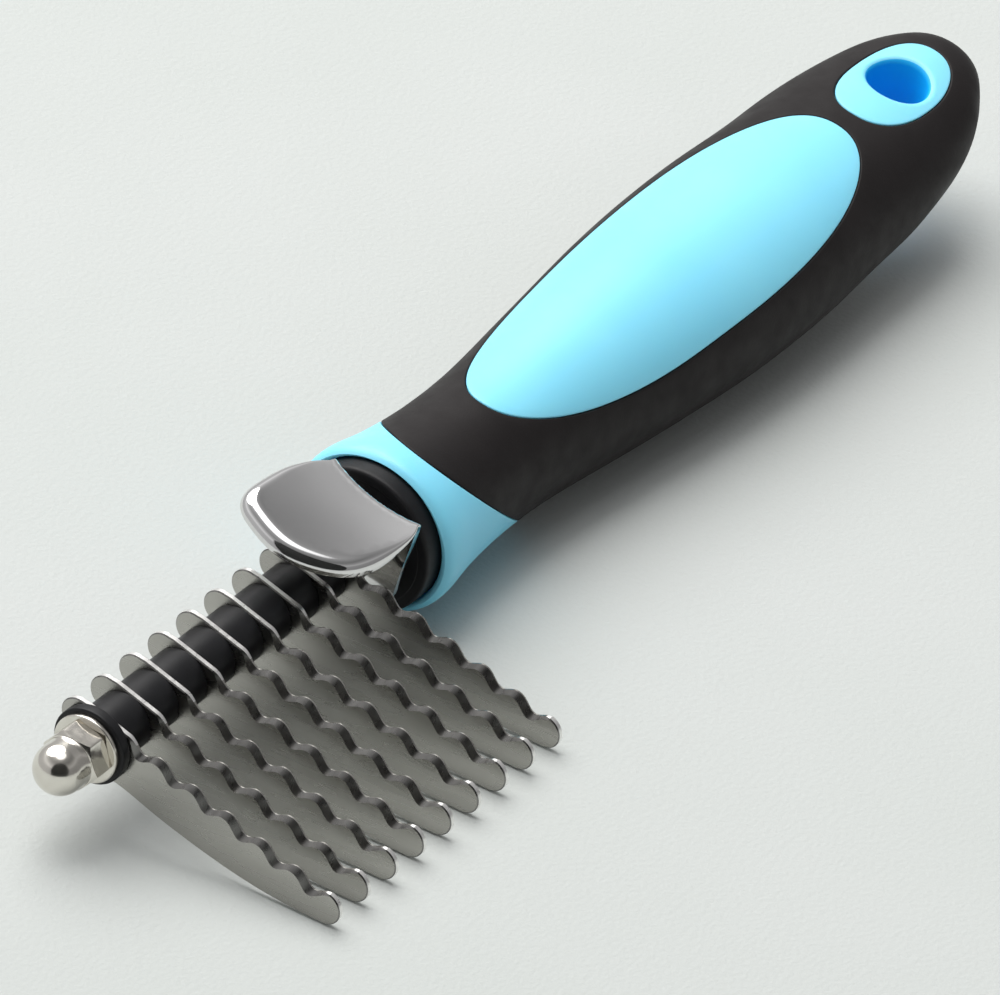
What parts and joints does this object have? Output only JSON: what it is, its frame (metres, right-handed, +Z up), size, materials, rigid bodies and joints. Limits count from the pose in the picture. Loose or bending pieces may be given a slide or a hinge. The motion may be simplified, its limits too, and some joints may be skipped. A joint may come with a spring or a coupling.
{
  "type": "deshedding comb",
  "caption": "In-line deshedding comb: scalloped steel blades and spacers on a threaded rod, held by a cap nut, with a bent thumb rest and a moulded two-colour handle.",
  "frame": {"origin": "foot of the bounding box, under its middle, on the surface the tool lies on", "axes": "+X along the rod from the cap nut to the handle's tail, +Z up from the surface, blades towards -Y"},
  "size_m": [0.2006, 0.0498, 0.0256],
  "materials": {
    "blue_plastic": "satin light-blue moulded plastic",
    "black_rubber": "matte black soft-touch rubber",
    "black_plastic": "black hard plastic with a slight gloss",
    "blade_steel": "satin stainless steel",
    "rod_steel": "plated threaded rod",
    "chrome_sheet": "polished chrome plate",
    "nickel": "polished nickel plate",
    "brass": "turned brass"
  },
  "bodies": {
    "handle": {"handle_core": "blue_plastic", "grip_sleeve": "black_rubber", "front_boss": "black_plastic", "tie_rod": "rod_steel", "rod_anchor_nut": "brass"},
    "rear_spacer": {"rear_spacer": "black_plastic"},
    "thumb_rest": {"thumb_rest": "chrome_sheet"},
    "blade_stack": {"blade_1": "blade_steel", "blade_2": "blade_steel", "blade_3": "blade_steel", "blade_4": "blade_steel", "blade_5": "blade_steel", "blade_6": "blade_steel", "blade_7": "blade_steel", "blade_8": "blade_steel", "blade_9": "blade_steel", "spacer_1": "black_plastic", "spacer_2": "black_plastic", "spacer_3": "black_plastic", "spacer_4": "black_plastic", "spacer_5": "black_plastic", "spacer_6": "black_plastic", "spacer_7": "black_plastic", "spacer_8": "black_plastic", "nose_disc": "black_plastic"},
    "washer": {"washer": "nickel"},
    "cap_nut": {"cap_nut": "nickel"}
  },
  "joints": [
    {"name": "washer_travel", "type": "slide", "parent": "handle", "child": "washer", "axis": [-1, 0, 0], "range_m": [0, 0.0036]},
    {"name": "cap_nut_turn", "type": "hinge", "parent": "washer", "child": "cap_nut", "pos_m": [-0.09212, 0.01076, 0.01102], "axis": [-1, 0, 0], "range_deg": [0, 1800]},
    {"name": "blade_stack_travel", "type": "slide", "parent": "handle", "child": "blade_stack", "axis": [-1, 0, 0], "range_m": [0, 0.00233]},
    {"name": "rear_spacer_travel", "type": "slide", "parent": "handle", "child": "rear_spacer", "axis": [-1, 0, 0], "range_m": [0, 0.0012]},
    {"name": "thumb_rest_swing", "type": "hinge", "parent": "rear_spacer", "child": "thumb_rest", "pos_m": [-0.09212, 0.01076, 0.01102], "axis": [-1, 0, 0], "range_deg": [-15, 60]}
  ],
  "couplings": [
    {"joint": "washer_travel", "follows": "blade_stack_travel", "ratio": 1.5},
    {"joint": "cap_nut_turn", "follows": "blade_stack_travel", "rad_per_m": 13464},
    {"joint": "rear_spacer_travel", "follows": "blade_stack_travel", "ratio": 0.5}
  ]
}
